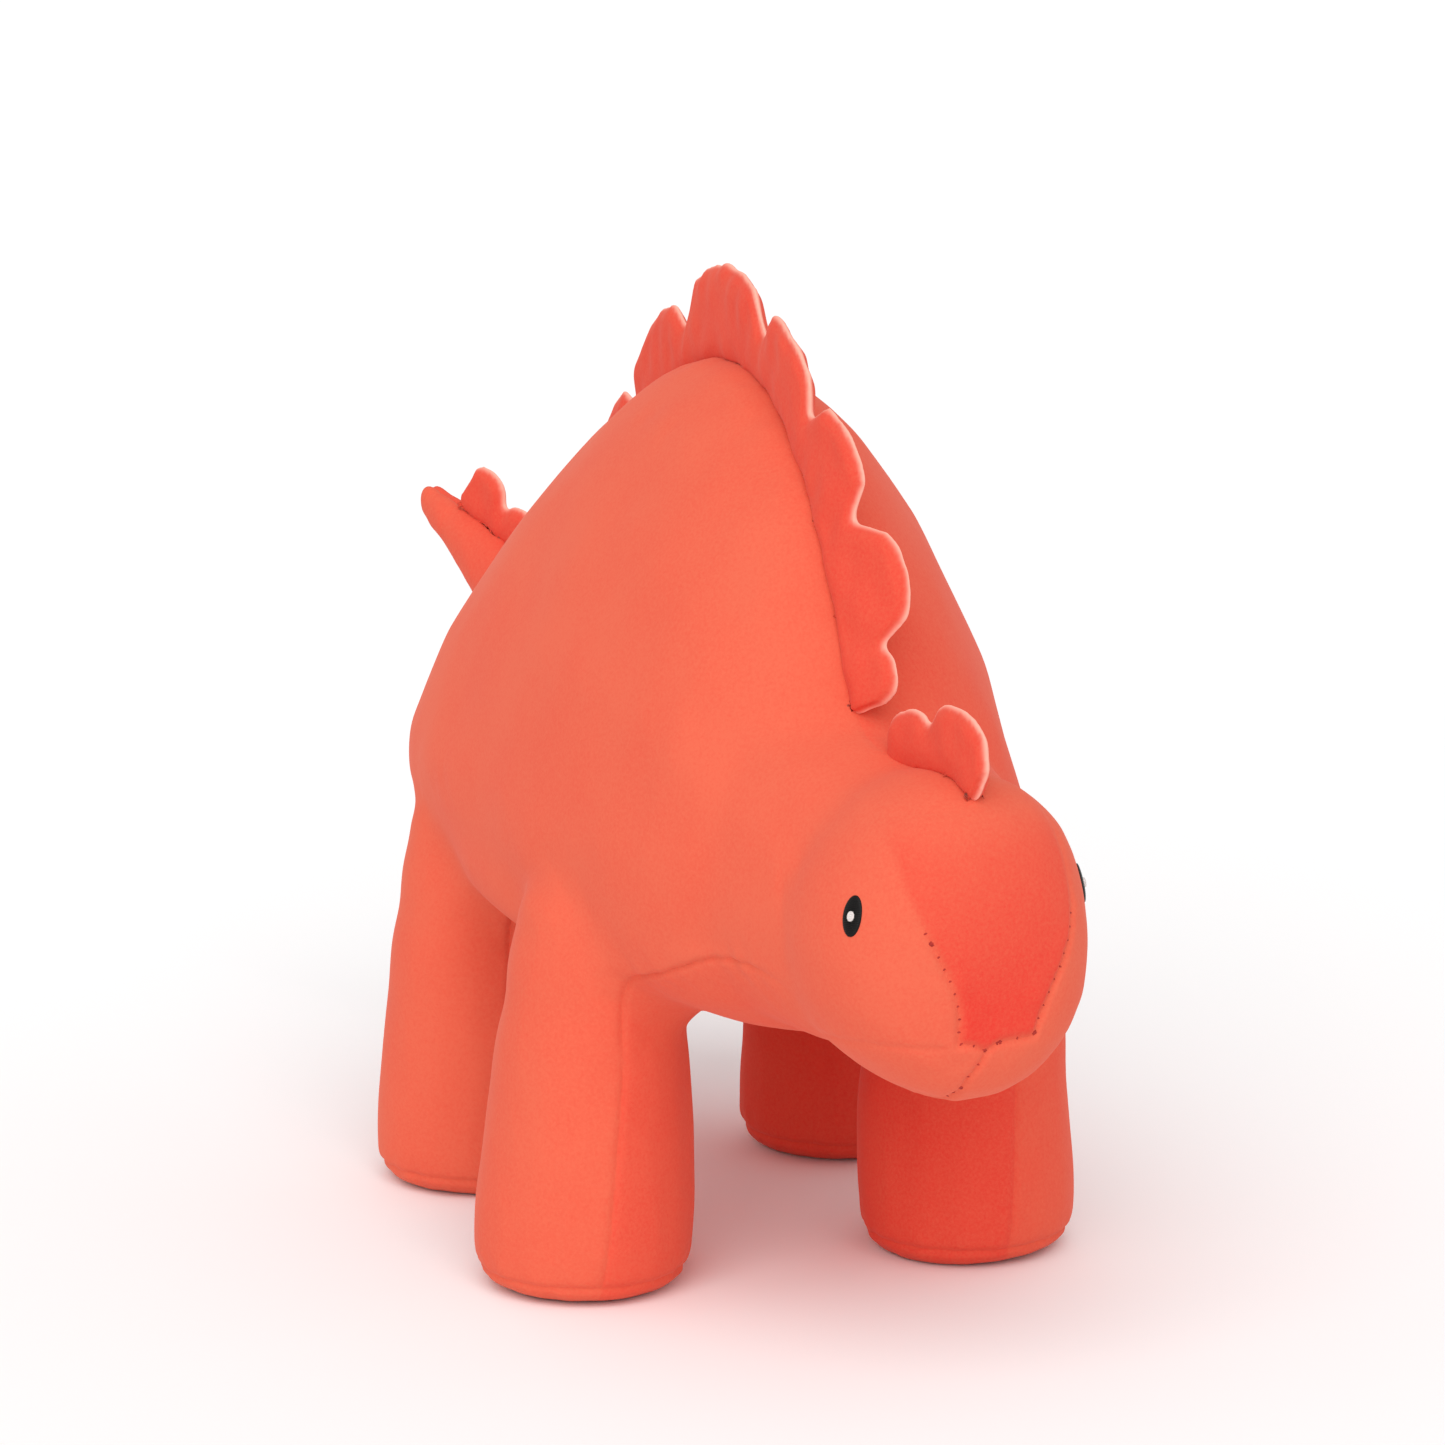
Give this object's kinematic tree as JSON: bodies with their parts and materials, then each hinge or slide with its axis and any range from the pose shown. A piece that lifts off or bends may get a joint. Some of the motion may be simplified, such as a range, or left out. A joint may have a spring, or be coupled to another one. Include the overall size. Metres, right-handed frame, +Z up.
{
  "type": "stuffed dinosaur",
  "caption": "Plush stegosaurus on four padded feet, with an arched body, scalloped back plates, a jointed head, tail and legs, and stitched eyes.",
  "frame": {"origin": "centre of the bounding box's footprint, on the floor under the soles", "axes": "+Z up, -Y towards the toy's face, +X towards the toy's left"},
  "size_m": [0.1598, 0.3674, 0.2537],
  "materials": {
    "velour": "short-pile coral-red velour",
    "polyester_fibre": "loose white fibre filling",
    "black_thread": "satin stitch",
    "white_thread": "satin stitch"
  },
  "bodies": {
    "torso": {"torso_stuffing": "polyester_fibre", "right_flank_panel": "velour", "left_flank_panel": "velour", "belly_panel": "velour", "spine_plates_right_face": "velour", "spine_plates_padding": "polyester_fibre", "spine_plates_left_face": "velour"},
    "neck": {"neck_stuffing": "polyester_fibre"},
    "head": {"head_stuffing": "polyester_fibre", "forehead_panel": "velour", "right_cheek_panel": "velour", "left_cheek_panel": "velour", "right_pupil": "black_thread", "right_eye_highlight": "white_thread", "left_pupil": "black_thread", "left_eye_highlight": "white_thread", "head_plates_right_face": "velour", "head_plates_padding": "polyester_fibre", "head_plates_left_face": "velour"},
    "tail": {"tail_stuffing": "polyester_fibre", "tail_right_panel": "velour", "tail_left_panel": "velour", "tail_plates_right_face": "velour", "tail_plates_padding": "polyester_fibre", "tail_plates_left_face": "velour"},
    "front_right_leg": {"front_right_leg_stuffing": "polyester_fibre", "front_right_leg_outer_panel": "velour", "front_right_leg_inner_panel": "velour", "front_right_leg_sole": "velour"},
    "front_left_leg": {"front_left_leg_stuffing": "polyester_fibre", "front_left_leg_outer_panel": "velour", "front_left_leg_inner_panel": "velour", "front_left_leg_sole": "velour"},
    "rear_right_leg": {"rear_right_leg_stuffing": "polyester_fibre", "rear_right_leg_outer_panel": "velour", "rear_right_leg_inner_panel": "velour", "rear_right_leg_sole": "velour"},
    "rear_left_leg": {"rear_left_leg_stuffing": "polyester_fibre", "rear_left_leg_outer_panel": "velour", "rear_left_leg_inner_panel": "velour", "rear_left_leg_sole": "velour"}
  },
  "joints": [
    {"name": "neck_turn", "type": "hinge", "parent": "torso", "child": "neck", "pos_m": [0.00137, -0.12361, 0.11], "axis": [0, 0, 1], "range_deg": [-12, 12], "stiffness_Nm_per_rad": 0.6},
    {"name": "head_nod", "type": "hinge", "parent": "neck", "child": "head", "pos_m": [0.00137, -0.12361, 0.11], "axis": [0.9781, 0.2079, 0], "range_deg": [-4, 10], "stiffness_Nm_per_rad": 0.8},
    {"name": "tail_swing", "type": "hinge", "parent": "torso", "child": "tail", "pos_m": [0.00137, 0.10339, 0.122], "axis": [0, 0, 1], "range_deg": [-15, 15], "stiffness_Nm_per_rad": 0.3},
    {"name": "front_right_hip", "type": "hinge", "parent": "torso", "child": "front_right_leg", "pos_m": [-0.04863, -0.04861, 0.088], "axis": [1, 0, 0], "range_deg": [-8, 8], "stiffness_Nm_per_rad": 4},
    {"name": "front_left_hip", "type": "hinge", "parent": "torso", "child": "front_left_leg", "pos_m": [0.05137, -0.04861, 0.088], "axis": [1, 0, 0], "range_deg": [-8, 8], "stiffness_Nm_per_rad": 4},
    {"name": "rear_right_hip", "type": "hinge", "parent": "torso", "child": "rear_right_leg", "pos_m": [-0.04863, 0.05139, 0.088], "axis": [1, 0, 0], "range_deg": [-8, 8], "stiffness_Nm_per_rad": 4},
    {"name": "rear_left_hip", "type": "hinge", "parent": "torso", "child": "rear_left_leg", "pos_m": [0.05137, 0.05139, 0.088], "axis": [1, 0, 0], "range_deg": [-8, 8], "stiffness_Nm_per_rad": 4}
  ]
}
